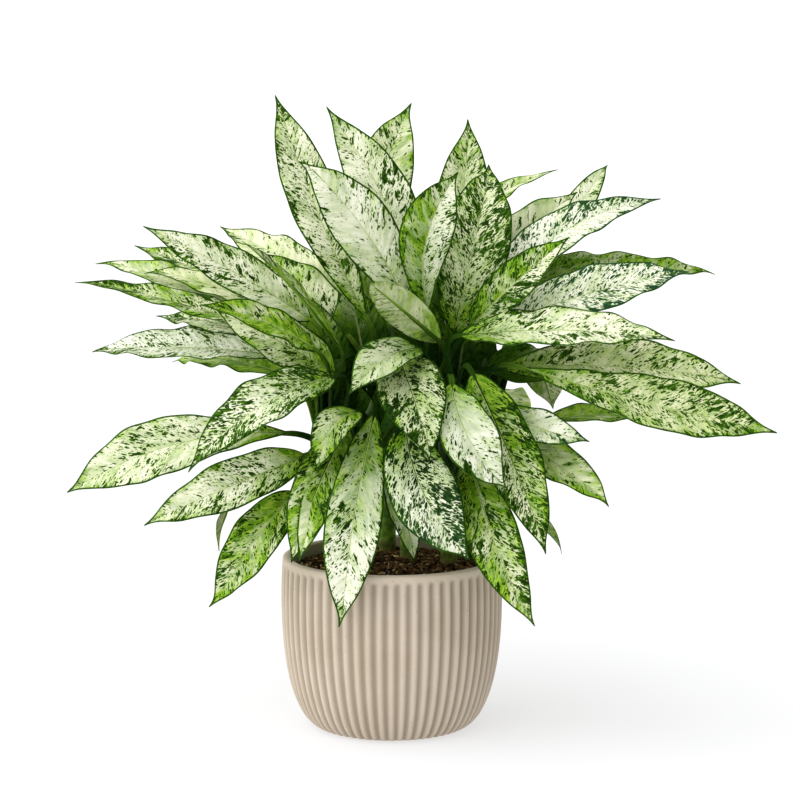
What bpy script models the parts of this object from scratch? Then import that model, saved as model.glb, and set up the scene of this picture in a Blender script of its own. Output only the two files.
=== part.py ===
"""Potted dieffenbachia: a ribbed ceramic pot, its soil, six canes and their leaves.

Metres, +Z up. The origin is the middle of the pot's flat underside, and the plant's
best side faces -Y. Run it with blender --background --python part.py.
"""
import math
from collections import namedtuple

import bmesh
import bpy
from mathutils import Vector

MM = 0.001
GAP = 0.3 * MM
SHARP_ANGLE = math.radians(40)

# Pot
POT_HEIGHT = 156 * MM
FOOT_RADIUS = 62 * MM
BELLY_RADIUS = 100 * MM
BELLY_HEIGHT = 118 * MM
RIM_RADIUS = 98.5 * MM
BELLY_POWER = 2.2
WALL = 6.5 * MM
FLOOR = 9 * MM
LIP_HEIGHT = 7 * MM
LIP_ROUND = 3 * MM
BOWL_SHARES = (0.6, 0.3, 0.12)
BOWL_ROUND = 5.4 * MM
RIB_COUNT = 60
RIB_DEPTH = 1.5 * MM
BODY_ROWS = 9
ROW_CROWDING = 1.7

# Soil
SOIL_TOP = 147 * MM
SOIL_CROWN = 3 * MM
SOIL_EDGE = SOIL_TOP - SOIL_CROWN
SOIL_MOUND = ((0.8, 0.67), (0.5, 1))
SOIL_SIDES = 60
SOIL_GAP = 0.45 * MM
SOCKET_SHARE = 0.5

# Canes: foot on the pot's plan, top of the cane, both in millimetres
Stem = namedtuple("Stem", "name foot top")
STEM_FOOT_Z = 105
STEM_RADIUS = 8 * MM
STEM_TOP_RADIUS = 5 * MM
STEM_DOME = 2.5 * MM
STEM_DOME_RADIUS = 3 * MM
STEM_SIDES = 12
STEM_ROWS = 9
HALVINGS = 30
STEMS = (
    Stem("stem_centre", (14, 30), (38, 22, 335)),
    Stem("stem_rear", (-4, 68), (0, 58, 345)),
    Stem("stem_left", (-44, 4), (-54, 6, 318)),
    Stem("stem_right", (66, 40), (84, 12, 322)),
    Stem("stem_front_left", (-36, -38), (-18, -50, 292)),
    Stem("stem_front_right", (52, 12), (44, -52, 310)),
)

# Leaves, in millimetres: height where the stalk leaves its cane, where the blade starts and
# ends, its width, how far its middle bows towards its upper side (arch), the way that this
# side faces, the bow towards the leaf's right (sweep), the share of its length where it is
# widest (belly), and how steeply its halves rise from the midrib (fold)
Leaf = namedtuple(
    "Leaf", "name stem joins start tip width arch faces sweep belly fold", defaults=(0, 0.46, 0.2)
)
LEAF_ROWS = (
    ("top_leaf_01", "rear", 310, (-22, 40, 365), (-105, 60, 569), 46, 5, (0.15, -1, 0.15), -6, 0.56),
    ("top_leaf_02", "centre", 300, (19, 8, 370), (-79, -30, 514), 54, 5, (0.1, -1, 0.2), 9, 0.55),
    ("top_leaf_03", "centre", 318, (21, 35, 374), (-61, 50, 556), 53, 6, (0, -1, 0.2), 15, 0.5),
    ("top_leaf_04", "rear", 325, (0, 72, 378), (19, 130, 559), 54, 6, (0, -1, 0.2), -20, 0.58),
    ("top_leaf_05", "centre", 329, (33, -13, 375), (59, -40, 503), 48, 4, (-0.2, -1, 0), -15, 0.58, 0.35),
    ("top_leaf_06", "centre", 310, (53, 55, 350), (73, 125, 545), 52, 6, (0, -1, 0.2), 0, 0.54),
    ("top_leaf_07", "centre", 315, (57, 12, 354), (91, 60, 505), 64, 25, (0, -1, 0.3), 0, 0.5),
    ("top_leaf_08", "rear", 300, (40, 72, 395), (160, 190, 493), 42, 15, (-0.2, -0.25, 1), -20),
    ("top_leaf_09", "centre", 280, (72, 62, 371), (174, 95, 478), 50, 12, (-0.2, -0.8, 0.5), -6),
    ("top_leaf_10", "right", 273, (151, 112, 427), (204, 150, 502), 26, 4, (-0.2, -1, 0.3)),
    ("top_leaf_11", "centre", 293, (43, -25, 352), (-21, -110, 414), 33, 6, (-0.5, 0.7, 0.5)),
    ("right_leaf_01", "centre", 269, (72, 20, 365), (247, 75, 472), 46, 22, (-0.2, -0.75, 0.65), -14),
    ("right_leaf_02", "centre", 282, (70, -10, 363), (156, -35, 446), 40, 5, (-0.2, -0.8, 0.5)),
    ("right_leaf_03", "right", 287, (114, 47, 397), (305, 130, 403), 50, 5, (0, -0.6, 0.8), 0, 0.36),
    ("right_leaf_04", "right", 305, (79, -3, 359), (268, 20, 412), 52, 9, (0, -0.7, 0.7), 0, 0.52),
    ("right_leaf_05", "front_right", 298, (60, -36, 359), (247, -70, 360), 50, 8, (0, -0.55, 0.8)),
    ("right_leaf_06", "right", 270, (96, -20, 328), (312, -25, 316), 52, 15, (0, -0.8, 0.6), 0, 0.52),
    ("right_leaf_07", "right", 235, (112, -58, 334), (331, -110, 284), 52, 5, (0, -0.8, 0.6), 6, 0.6),
    ("right_leaf_08", "right", 245, (121, 46, 338), (150, 95, 275), 46, 12, (0.3, 0.9, 0.3), 0, 0.5),
    ("right_leaf_09", "right", 230, (142, 40, 274), (291, 130, 267), 32, 3, (0, -0.5, 0.85)),
    ("right_leaf_10", "front_right", 236, (92, -50, 293), (172, -85, 273), 34, 4, (0, -0.8, 0.6), 5),
    ("right_leaf_11", "right", 215, (105, -30, 270), (191, -90, 218), 40, 4, (0.2, -0.8, 0.6)),
    ("right_leaf_12", "right", 200, (95, 55, 210), (163, 120, 136), 34, 6, (0.4, -0.5, 0.7)),
    ("front_leaf_01", "front_left", 262, (-14, -75, 297), (-43, -120, 114), 49, 12, (0, -1, 0.1), 4, 0.52),
    ("front_leaf_02", "front_left", 235, (-38, -70, 284), (-87, -100, 167), 44, 12, (-0.3, -1, 0.2)),
    ("front_leaf_03", "front_left", 280, (-29, -75, 297), (-64, -105, 249), 36, 20, (-0.3, -0.8, 0.5)),
    ("front_leaf_04", "front_right", 296, (23, -70, 352), (-36, -122, 318), 44, 13, (-0.35, -0.8, 0.55)),
    ("front_leaf_05", "front_right", 285, (7, -55, 341), (35, -140, 265), 58, 15, (-0.1, -0.75, 0.65)),
    ("front_leaf_06", "front_right", 274, (52, -95, 325), (99, -130, 238), 50, 8, (0.2, -1, 0.4), 12, 0.5),
    ("front_leaf_07", "front_right", 250, (70, -68, 330), (135, -110, 177), 50, 10, (0.2, -1, 0.3)),
    ("front_leaf_08", "front_left", 240, (12, -72, 286), (68, -125, 175), 60, 12, (0, -1, 0.4), 13, 0.5),
    ("front_leaf_09", "front_right", 225, (68, -80, 264), (124, -125, 117), 46, 10, (0, -1, 0.2), 8),
    ("front_leaf_10", "front_left", 200, (-6, -35, 257), (21, -60, 158), 30, 8, (0.3, -1, 0.3)),
    ("left_leaf_01", "left", 305, (-72, 12, 367), (-221, -10, 453), 42, 10, (0, -0.8, 0.6)),
    ("left_leaf_02", "rear", 305, (-43, 75, 378), (-165, 180, 438), 46, 8, (0, -0.6, 0.8)),
    ("left_leaf_03", "left", 304, (-46, -8, 346), (-129, -60, 444), 38, 5, (0.8, 0, 0.57)),
    ("left_leaf_04", "rear", 280, (-40, 52, 349), (-122, 110, 421), 46, 5, (0.3, -0.9, 0.4)),
    ("left_leaf_05", "rear", 262, (-79, 62, 350), (-247, 170, 421), 46, 12, (0, -0.5, 0.85)),
    ("left_leaf_06", "left", 262, (-84, 32, 348), (-273, 85, 416), 44, 12, (0, -0.5, 0.85)),
    ("left_leaf_07", "left", 277, (-76, -14, 348), (-284, 10, 405), 36, 6, (0, -0.4, 0.9)),
    ("left_leaf_08", "left", 261, (-66, -52, 348), (-160, -125, 396), 36, 8, (0, -0.7, 0.7)),
    ("left_leaf_09", "left", 286, (-50, -14, 322), (-157, -45, 383), 50, 5, (0.1, -0.8, 0.6)),
    ("left_leaf_10", "rear", 240, (-70, 45, 332), (-226, 150, 355), 44, 12, (0, -0.5, 0.85)),
    ("left_leaf_11", "left", 243, (-88, 0, 335), (-274, 30, 338), 50, 7, (0, -0.45, 0.9), 0, 0.55),
    ("left_leaf_12", "left", 228, (-95, 25, 316), (-211, 150, 313), 42, 10, (0, -0.5, 0.85)),
    ("left_leaf_13", "left", 240, (-49, -62, 326), (-175, -125, 253), 50, 22, (-0.3, -0.8, 0.6)),
    ("left_leaf_14", "front_left", 225, (-88, -30, 271), (-285, -60, 222), 54, 17, (0, -0.9, 0.5), 12, 0.6),
    ("left_leaf_15", "front_left", 215, (-75, -60, 256), (-214, -110, 204), 45, 8, (0, -0.9, 0.5), -2),
    ("left_leaf_16", "left", 200, (-82, 10, 245), (-164, 90, 140), 30, 22, (-0.75, 0.1, 0.65)),
    ("left_leaf_17", "front_left", 195, (-85, -50, 222), (-156, -90, 125), 44, 12, (-0.3, -1, 0.3)),
    ("back_leaf_01", "rear", 290, (-30, 95, 345), (-85, 245, 330), 50, 22, (0, 0.3, 1)),
    ("back_leaf_02", "rear", 270, (30, 100, 335), (75, 250, 285), 52, 22, (0, 0.3, 1)),
)
LEAVES = [Leaf(*row) for row in LEAF_ROWS]
STALK_RADIUS = 3 * MM
NECK_RADIUS = 1.9 * MM
STALK_PULL = 0.38
STALK_SPREAD = 0.3
STALK_STEPS = (0, 0.3, 0.6, 0.85)
BLADE_STEPS = (0, 0.1, 0.22, 0.36, 0.5, 0.65, 0.8, 0.92)
BLADE_SKIN = 0.4 * MM
ROUNDNESS = 0.95
TIP_DRAW = 0.25
TIP_POWER = 8
MIDRIB_DEPTH = 1.6 * MM
MIDRIB_TAPER = 0.7
SECTION_SIDES = 8


def material(name, colour, roughness):
    """A plain Principled material."""
    made = bpy.data.materials.new(name)
    made.use_nodes = True
    shader = made.node_tree.nodes["Principled BSDF"]
    shader.inputs["Base Color"].default_value = (*colour, 1)
    shader.inputs["Roughness"].default_value = roughness
    shader.inputs["Metallic"].default_value = 0
    return made


def make_object(name, bm, surface, smooth=True):
    """Turn a bmesh into a named object with its faces pointing out."""
    bmesh.ops.recalc_face_normals(bm, faces=bm.faces)
    mesh = bpy.data.meshes.new(name)
    bm.to_mesh(mesh)
    bm.free()
    mesh.materials.append(surface)
    if smooth:
        mesh.shade_smooth()
        mesh.set_sharp_from_angle(angle=SHARP_ANGLE)
    made = bpy.data.objects.new(name, mesh)
    bpy.context.scene.collection.objects.link(made)
    return made


def skin_rings(bm, rings):
    """Join a list of equal rings of points into a skin and return the rings' vertices."""
    made = [[bm.verts.new(point) for point in ring] for ring in rings]
    for lower, upper in zip(made, made[1:]):
        for i in range(len(lower)):
            j = (i + 1) % len(lower)
            bm.faces.new((lower[i], lower[j], upper[j], upper[i]))
    return made


def circle(radius, z, sides, ripple=0.0):
    """A ring about Z. Every second point is drawn in by the ripple."""
    points = []
    for i in range(sides):
        angle = 2 * math.pi * i / sides
        reach = radius - (ripple if i % 2 else 0)
        points.append(Vector((reach * math.cos(angle), reach * math.sin(angle), z)))
    return points


def pot_radius(z):
    """Outer radius of the pot at height z: a round belly below, a slight draw-in above."""
    if z < BELLY_HEIGHT:
        drop = 1 - z / BELLY_HEIGHT
        rise = (1 - drop ** BELLY_POWER) ** (1 / BELLY_POWER)
        return FOOT_RADIUS + (BELLY_RADIUS - FOOT_RADIUS) * rise
    climb = (z - BELLY_HEIGHT) / (POT_HEIGHT - BELLY_HEIGHT)
    return BELLY_RADIUS - (BELLY_RADIUS - RIM_RADIUS) * climb ** 2


def pot_bore(z):
    """Inner radius of the pot at height z."""
    return pot_radius(z) - RIB_DEPTH - WALL


def bowl_rows():
    """Radius and height down the inside of the bowl, from the soil's edge to the floor."""
    heights = [SOIL_EDGE] + [FLOOR + (POT_HEIGHT - FLOOR) * share for share in BOWL_SHARES]
    return [(pot_bore(z), z) for z in heights] + [(pot_bore(FLOOR + BOWL_ROUND), FLOOR)]


def add_pot(surface):
    """The pot: fluted outside, smooth lip, plain bowl inside."""
    sides = 2 * RIB_COUNT
    rib_top = POT_HEIGHT - LIP_HEIGHT
    rings = [circle(FOOT_RADIUS, 0, sides)]
    for row in range(1, BODY_ROWS + 1):
        z = rib_top * (row / BODY_ROWS) ** ROW_CROWDING
        depth = RIB_DEPTH if row < BODY_ROWS else 0
        rings.append(circle(pot_radius(z), z, sides, depth))
    rings.append(circle(RIM_RADIUS, POT_HEIGHT - LIP_ROUND, sides))
    rings.append(circle(RIM_RADIUS - LIP_ROUND / 2, POT_HEIGHT, sides))
    rings.append(circle(pot_bore(POT_HEIGHT) + LIP_ROUND / 2, POT_HEIGHT, sides))
    rings.append(circle(pot_bore(POT_HEIGHT), POT_HEIGHT - LIP_ROUND, sides))
    rings += [circle(radius, z, sides) for radius, z in bowl_rows()]
    bm = bmesh.new()
    made = skin_rings(bm, rings)
    bm.faces.new(made[0])
    bm.faces.new(made[-1])
    return make_object("pot", bm, surface)


def cane_point(stem, share):
    """A point on a cane's middle line, from its foot (share 0) to its top (share 1)."""
    foot = Vector((*stem.foot, STEM_FOOT_Z)) * MM
    top = Vector(stem.top) * MM
    bend = Vector((foot.x, foot.y, (foot.z + top.z) / 2))
    return foot * (1 - share) ** 2 + bend * 2 * share * (1 - share) + top * share ** 2


def cane_heading(stem, share):
    """The way a cane grows at a share of its length."""
    foot = Vector((*stem.foot, STEM_FOOT_Z))
    top = Vector(stem.top)
    bend = Vector((foot.x, foot.y, (foot.z + top.z) / 2))
    return ((bend - foot) * (1 - share) + (top - bend) * share).normalized()


def cane_radius(share):
    return STEM_RADIUS + (STEM_TOP_RADIUS - STEM_RADIUS) * share ** 2


def cane_share(stem, z):
    """How far along its cane a height lies."""
    low, high = 0.0, 1.0
    for _ in range(HALVINGS):
        middle = (low + high) / 2
        if cane_point(stem, middle).z < z:
            low = middle
        else:
            high = middle
    return low


def cane_rings(stem, extra, last):
    """Rings of a cane, drawn out by the extra radius, up to the given share of its length."""
    rings = []
    for row in range(STEM_ROWS + 1):
        share = last * row / STEM_ROWS
        radius = cane_radius(share) + extra
        middle = cane_point(stem, share)
        rings.append([point + middle for point in circle(radius, 0, STEM_SIDES)])
    return rings


def add_stem(stem, surface):
    """A cane with a domed top."""
    bm = bmesh.new()
    rings = cane_rings(stem, 0, 1)
    top = Vector(stem.top) * MM
    rings.append([point + top for point in circle(STEM_DOME_RADIUS, STEM_DOME, STEM_SIDES)])
    made = skin_rings(bm, rings)
    bm.faces.new(made[0])
    bm.faces.new(made[-1])
    return make_object(stem.name, bm, surface)


def add_soil(surface):
    """The soil fills the bowl, with a socket for each cane."""
    rows = bowl_rows()[::-1]
    rings = [circle(radius - SOIL_GAP, z, SOIL_SIDES) for radius, z in rows]
    rings[0] = [point + Vector((0, 0, GAP)) for point in rings[0]]
    edge = rows[-1][0]
    for reach, lift in SOIL_MOUND:
        rings.append(circle(edge * reach, SOIL_EDGE + SOIL_CROWN * lift, SOIL_SIDES))
    bm = bmesh.new()
    made = skin_rings(bm, rings)
    bm.faces.new(made[0])
    bm.faces.new(made[-1])
    soil = make_object("soil", bm, surface)
    for stem in STEMS:
        rings = cane_rings(stem, SOIL_GAP, SOCKET_SHARE)
        rings[0] = [point - Vector((0, 0, GAP)) for point in rings[0]]
        bm = bmesh.new()
        made = skin_rings(bm, rings)
        bm.faces.new(made[0])
        bm.faces.new(made[-1])
        cutter = make_object(stem.name + "_socket", bm, surface)
        cutter.hide_render = True
        cutter.display_type = "WIRE"
        cut = soil.modifiers.new(stem.name + "_socket", "BOOLEAN")
        cut.operation = "DIFFERENCE"
        cut.object = cutter
    return soil


def blade_width(t, belly):
    """Half width of a blade as a share of its greatest: round base, drawn-out tip."""
    power = math.log(0.5) / math.log(belly)
    return math.sin(math.pi * t ** power) ** ROUNDNESS * (1 - TIP_DRAW * t ** TIP_POWER)


class Blade:
    """The middle line and the frame of one leaf, in metres."""

    def __init__(self, leaf):
        self.leaf = leaf
        self.start = Vector(leaf.start) * MM
        self.chord = Vector(leaf.tip) * MM - self.start
        along = self.chord.normalized()
        faces = Vector(leaf.faces)
        self.up = (faces - along * faces.dot(along)).normalized()
        self.right = along.cross(self.up)
        self.bow = (self.up * leaf.arch + self.right * leaf.sweep) * MM

    def point(self, t):
        return self.start + self.chord * t + self.bow * 4 * t * (1 - t)

    def heading(self, t):
        return (self.chord + self.bow * 4 * (1 - 2 * t)).normalized()

    def frame(self, t):
        """Right and up across the blade at t."""
        along = self.heading(t)
        up = (self.up - along * self.up.dot(along)).normalized()
        return along.cross(up), up


def blade_ring(blade, t):
    """The eight points round a blade at t: edge, upper side, edge, underside."""
    leaf = blade.leaf
    right, up = blade.frame(t)
    middle = blade.point(t)
    half = leaf.width / 2 * MM * blade_width(t, leaf.belly)
    rise = half * leaf.fold
    rib = MIDRIB_DEPTH * (1 - MIDRIB_TAPER * t)
    offsets = (
        (-half, rise), (-half / 2, rise / 2 + BLADE_SKIN),
        (0, BLADE_SKIN), (half / 2, rise / 2 + BLADE_SKIN),
        (half, rise), (half / 2, rise / 2 - BLADE_SKIN),
        (0, -rib), (-half / 2, rise / 2 - BLADE_SKIN),
    )
    return [middle + right * x + up * z for x, z in offsets]


def round_ring(middle, right, up, radius):
    """Eight points round a stalk, in the same order as a blade's."""
    ring = []
    for i in range(SECTION_SIDES):
        angle = math.pi - 2 * math.pi * i / SECTION_SIDES
        ring.append(middle + right * radius * math.cos(angle) + up * radius * math.sin(angle))
    return ring


def stalk_line(leaf, blade):
    """The four control points of a stalk, from beside its cane to the start of the blade."""
    stem = next(item for item in STEMS if item.name == "stem_" + leaf.stem)
    share = cane_share(stem, leaf.joins * MM)
    middle = cane_point(stem, share)
    out = blade.start - middle
    out.z = 0
    out.normalize()
    heading = cane_heading(stem, share)
    slant = math.hypot(1, heading.dot(out) / heading.z)
    foot = middle + out * (cane_radius(share) + STALK_RADIUS * slant + GAP)
    pull = (blade.start - foot).length * STALK_PULL
    return (
        foot,
        foot + (heading + out * STALK_SPREAD).normalized() * pull,
        blade.start - blade.heading(0) * pull,
        blade.start,
    )


def bezier(points, u):
    """Point and heading on a cubic curve."""
    a, b, c, d = points
    v = 1 - u
    place = a * v ** 3 + b * 3 * u * v ** 2 + c * 3 * u ** 2 * v + d * u ** 3
    heading = (b - a) * v ** 2 + (c - b) * 2 * u * v + (d - c) * u ** 2
    return place, heading.normalized()


def add_leaf(leaf, surface):
    """A leaf in one piece: its round stalk, then its blade with a midrib."""
    blade = Blade(leaf)
    line = stalk_line(leaf, blade)
    right, up = blade.frame(0)
    rings = [round_ring(blade.start, right, up, NECK_RADIUS)]
    for u in reversed(STALK_STEPS):
        place, heading = bezier(line, u)
        up = (up - heading * up.dot(heading)).normalized()
        radius = STALK_RADIUS + (NECK_RADIUS - STALK_RADIUS) * u
        rings.insert(0, round_ring(place, heading.cross(up), up, radius))
    rings += [blade_ring(blade, t) for t in BLADE_STEPS[1:]]
    bm = bmesh.new()
    made = skin_rings(bm, rings)
    bm.faces.new(made[0])
    tip = bm.verts.new(blade.point(1))
    last = made[-1]
    for i, vertex in enumerate(last):
        bm.faces.new((vertex, last[(i + 1) % len(last)], tip))
    return make_object(leaf.name, bm, surface)


def build():
    for item in list(bpy.data.objects):
        bpy.data.objects.remove(item)
    add_pot(material("pot_ceramic", (0.64, 0.55, 0.45), 0.55))
    add_soil(material("potting_soil", (0.05, 0.03, 0.02), 0.95))
    cane = material("cane_green", (0.16, 0.33, 0.06), 0.5)
    for stem in STEMS:
        add_stem(stem, cane)
    green = material("leaf_green", (0.42, 0.58, 0.25), 0.45)
    for leaf in LEAVES:
        add_leaf(leaf, green)


build()
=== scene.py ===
"""Looks of the potted dieffenbachia: speckled leaves, canes, crumbly soil, a ribbed pot and a pale stage.

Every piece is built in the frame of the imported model, in metres with +Z up.
"""

import math
import random
from collections import namedtuple
from functools import reduce

import bpy
from mathutils import Matrix, Vector, noise


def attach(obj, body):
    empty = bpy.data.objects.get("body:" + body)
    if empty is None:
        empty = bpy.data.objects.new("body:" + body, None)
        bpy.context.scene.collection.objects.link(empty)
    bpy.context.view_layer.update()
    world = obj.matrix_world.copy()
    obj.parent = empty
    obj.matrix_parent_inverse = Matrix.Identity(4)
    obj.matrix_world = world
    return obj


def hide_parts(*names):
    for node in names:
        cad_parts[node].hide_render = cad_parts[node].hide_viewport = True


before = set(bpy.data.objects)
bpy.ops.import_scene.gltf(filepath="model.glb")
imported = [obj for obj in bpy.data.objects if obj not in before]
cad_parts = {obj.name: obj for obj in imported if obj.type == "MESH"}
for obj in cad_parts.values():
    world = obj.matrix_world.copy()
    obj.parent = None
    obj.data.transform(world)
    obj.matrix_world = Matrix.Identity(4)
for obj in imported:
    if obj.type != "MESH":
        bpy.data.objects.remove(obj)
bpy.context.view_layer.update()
scene = bpy.context.scene

MM = 0.001

# Camera, from the photograph
CAMERA_PLACE = (0.0075, -2.35, 0.6187)
CAMERA_PITCH = math.radians(7.8)
CAMERA_LENS = 119
CAMERA_REACH = 60

# Stage
WHITE = (255, 255, 255)
BLACK = (0, 0, 0)
FLOOR_HALF = 40
FLOOR_TONE = (160, 160, 162)
FLOOR_GLOW = 0.5
BACKDROP_PLACE = 5
BACKDROP_HALF = 8
BACKDROP_HEIGHT = 4
BACKDROP_LIGHT = 0.98
WORLD_LIGHT = 0.53
SUN_LIGHT = 2.95
SUN_SPREAD = math.radians(115)
SUN_WAY = (0.95, 0.5, -0.8)

# Pot and soil, as in the CAD part
POT_HEIGHT = 156 * MM
FOOT_RADIUS = 62 * MM
BELLY_RADIUS = 100 * MM
BELLY_HEIGHT = 118 * MM
RIM_RADIUS = 98.5 * MM
BELLY_POWER = 2.2
WALL = 6.5 * MM
FLOOR = 9 * MM
LIP_ROUND = 3 * MM
RIB_COUNT = 60
RIB_DEPTH = 1.5 * MM
SOIL_EDGE = 144 * MM
SOIL_CROWN = 3 * MM
SOIL_GAP = 0.45 * MM

# Pot details that only the looks have
RIB_STEPS = 12
GROOVE = 2.5 * MM
GROOVE_POWER = 1.35
RIB_TOP = 150.5 * MM
RIB_END = 5 * MM
RIB_FOOT = 3 * MM
FOOT_GROOVE = 0.35
POT_ROWS = 44
ROW_CROWDING = 1.25
FOOT_ROUND = 1.2 * MM
LIP_EASE = 1.2 * MM
LIP_STEPS = 12
LIP_POWER = 0.8
BOWL_ROWS = 14
BOWL_CORNER = 1.6 * FLOOR

# Soil details; each of the surface's waves has its number to a metre, its layer and its strength
SOIL_RINGS = 30
SOIL_SPOKES = 120
SOIL_ROWS = 8
SOIL_BOTTOM = 1.8 * FLOOR
SOIL_SINK = 0.5 * MM
SOIL_ROUGHNESS = 1.32 * MM
SOIL_WAVES = ((70, 0, 1.0), (170, 3, 0.6), (420, 7, 0.5))
SOIL_TONE = 0.2

# Loose matter on the soil; each ring of a lump has its height and its radius
CRUMBS = 1600
CHIPS = 260
GRAINS = 170
LUMP_RINGS = ((-1, 0.55), (-0.35, 1.0), (0.4, 0.9), (1, 0.45))
LUMP_SIDES = 6
LUMP_TWIST = 0.5
LUMP_JITTER = (0.75, 1.2)
LUMP_TILT = 0.5
ANY_TURN = 6.28
FLAT_LUMP = 0.6
SHARP_EDGE = math.radians(35)
WALL_MARGIN = 4 * MM

# Canes, as in the CAD part: foot on the pot's plan and top, in millimetres
Stem = namedtuple("Stem", "foot top")
STEM_FOOT_Z = 105
STEM_RADIUS = 8 * MM
STEM_TOP_RADIUS = 5 * MM
HALVINGS = 30
STEMS = {
    "centre": Stem((14, 30), (38, 22, 335)),
    "rear": Stem((-4, 68), (0, 58, 345)),
    "left": Stem((-44, 4), (-54, 6, 318)),
    "right": Stem((66, 40), (84, 12, 322)),
    "front_left": Stem((-36, -38), (-18, -50, 292)),
    "front_right": Stem((52, 12), (44, -52, 310)),
}

# Cane details: leaf scars, and the rolled young leaf that each cane ends in
CANE_ROWS = 96
CANE_SIDES = 24
CANE_SLIMNESS = 0.97
CANE_WOBBLE = 0.03
SCAR_PITCH = 17 * MM
SCAR_SWELL = 0.7 * MM
SCAR_WIDTH = 0.07
SPEAR = 12 * MM
SPEAR_ROWS = 8
SPEAR_LEAN = 2 * MM
SPEAR_TIP = 0.3 * MM

# Leaves, as in the CAD part, in millimetres: the cane, the height where the stalk leaves it, where
# the blade starts and ends, its width, the bow of its middle towards its upper side (arch), the way
# that side faces, the bow towards its right (sweep), the share of its length where it is widest
# (belly), and how steeply its halves rise from the midrib (fold)
Leaf = namedtuple(
    "Leaf", "name stem joins start tip width arch faces sweep belly fold", defaults=(0, 0.46, 0.2)
)
TOP_LEAVES = (
    ("rear", 310, (-22, 40, 365), (-105, 60, 569), 46, 5, (0.15, -1, 0.15), -6, 0.56),
    ("centre", 300, (19, 8, 370), (-79, -30, 514), 54, 5, (0.1, -1, 0.2), 9, 0.55),
    ("centre", 318, (21, 35, 374), (-61, 50, 556), 53, 6, (0, -1, 0.2), 15, 0.5),
    ("rear", 325, (0, 72, 378), (19, 130, 559), 54, 6, (0, -1, 0.2), -20, 0.58),
    ("centre", 329, (33, -13, 375), (59, -40, 503), 48, 4, (-0.2, -1, 0), -15, 0.58, 0.35),
    ("centre", 310, (53, 55, 350), (73, 125, 545), 52, 6, (0, -1, 0.2), 0, 0.54),
    ("centre", 315, (57, 12, 354), (91, 60, 505), 64, 25, (0, -1, 0.3), 0, 0.5),
    ("rear", 300, (40, 72, 395), (160, 190, 493), 42, 15, (-0.2, -0.25, 1), -20),
    ("centre", 280, (72, 62, 371), (174, 95, 478), 50, 12, (-0.2, -0.8, 0.5), -6),
    ("right", 273, (151, 112, 427), (204, 150, 502), 26, 4, (-0.2, -1, 0.3)),
    ("centre", 293, (43, -25, 352), (-21, -110, 414), 33, 6, (-0.5, 0.7, 0.5)),
)
RIGHT_LEAVES = (
    ("centre", 269, (72, 20, 365), (247, 75, 472), 46, 22, (-0.2, -0.75, 0.65), -14),
    ("centre", 282, (70, -10, 363), (156, -35, 446), 40, 5, (-0.2, -0.8, 0.5)),
    ("right", 287, (114, 47, 397), (305, 130, 403), 50, 5, (0, -0.6, 0.8), 0, 0.36),
    ("right", 305, (79, -3, 359), (268, 20, 412), 52, 9, (0, -0.7, 0.7), 0, 0.52),
    ("front_right", 298, (60, -36, 359), (247, -70, 360), 50, 8, (0, -0.55, 0.8)),
    ("right", 270, (96, -20, 328), (312, -25, 316), 52, 15, (0, -0.8, 0.6), 0, 0.52),
    ("right", 235, (112, -58, 334), (331, -110, 284), 52, 5, (0, -0.8, 0.6), 6, 0.6),
    ("right", 245, (121, 46, 338), (150, 95, 275), 46, 12, (0.3, 0.9, 0.3), 0, 0.5),
    ("right", 230, (142, 40, 274), (291, 130, 267), 32, 3, (0, -0.5, 0.85)),
    ("front_right", 236, (92, -50, 293), (172, -85, 273), 34, 4, (0, -0.8, 0.6), 5),
    ("right", 215, (105, -30, 270), (191, -90, 218), 40, 4, (0.2, -0.8, 0.6)),
    ("right", 200, (95, 55, 210), (163, 120, 136), 34, 6, (0.4, -0.5, 0.7)),
)
FRONT_LEAVES = (
    ("front_left", 262, (-14, -75, 297), (-43, -120, 114), 49, 12, (0, -1, 0.1), 4, 0.52),
    ("front_left", 235, (-38, -70, 284), (-87, -100, 167), 44, 12, (-0.3, -1, 0.2)),
    ("front_left", 280, (-29, -75, 297), (-64, -105, 249), 36, 20, (-0.3, -0.8, 0.5)),
    ("front_right", 296, (23, -70, 352), (-36, -122, 318), 44, 13, (-0.35, -0.8, 0.55)),
    ("front_right", 285, (7, -55, 341), (35, -140, 265), 58, 15, (-0.1, -0.75, 0.65)),
    ("front_right", 274, (52, -95, 325), (99, -130, 238), 50, 8, (0.2, -1, 0.4), 12, 0.5),
    ("front_right", 250, (70, -68, 330), (135, -110, 177), 50, 10, (0.2, -1, 0.3)),
    ("front_left", 240, (12, -72, 286), (68, -125, 175), 60, 12, (0, -1, 0.4), 13, 0.5),
    ("front_right", 225, (68, -80, 264), (124, -125, 117), 46, 10, (0, -1, 0.2), 8),
    ("front_left", 200, (-6, -35, 257), (21, -60, 158), 30, 8, (0.3, -1, 0.3)),
)
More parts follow.
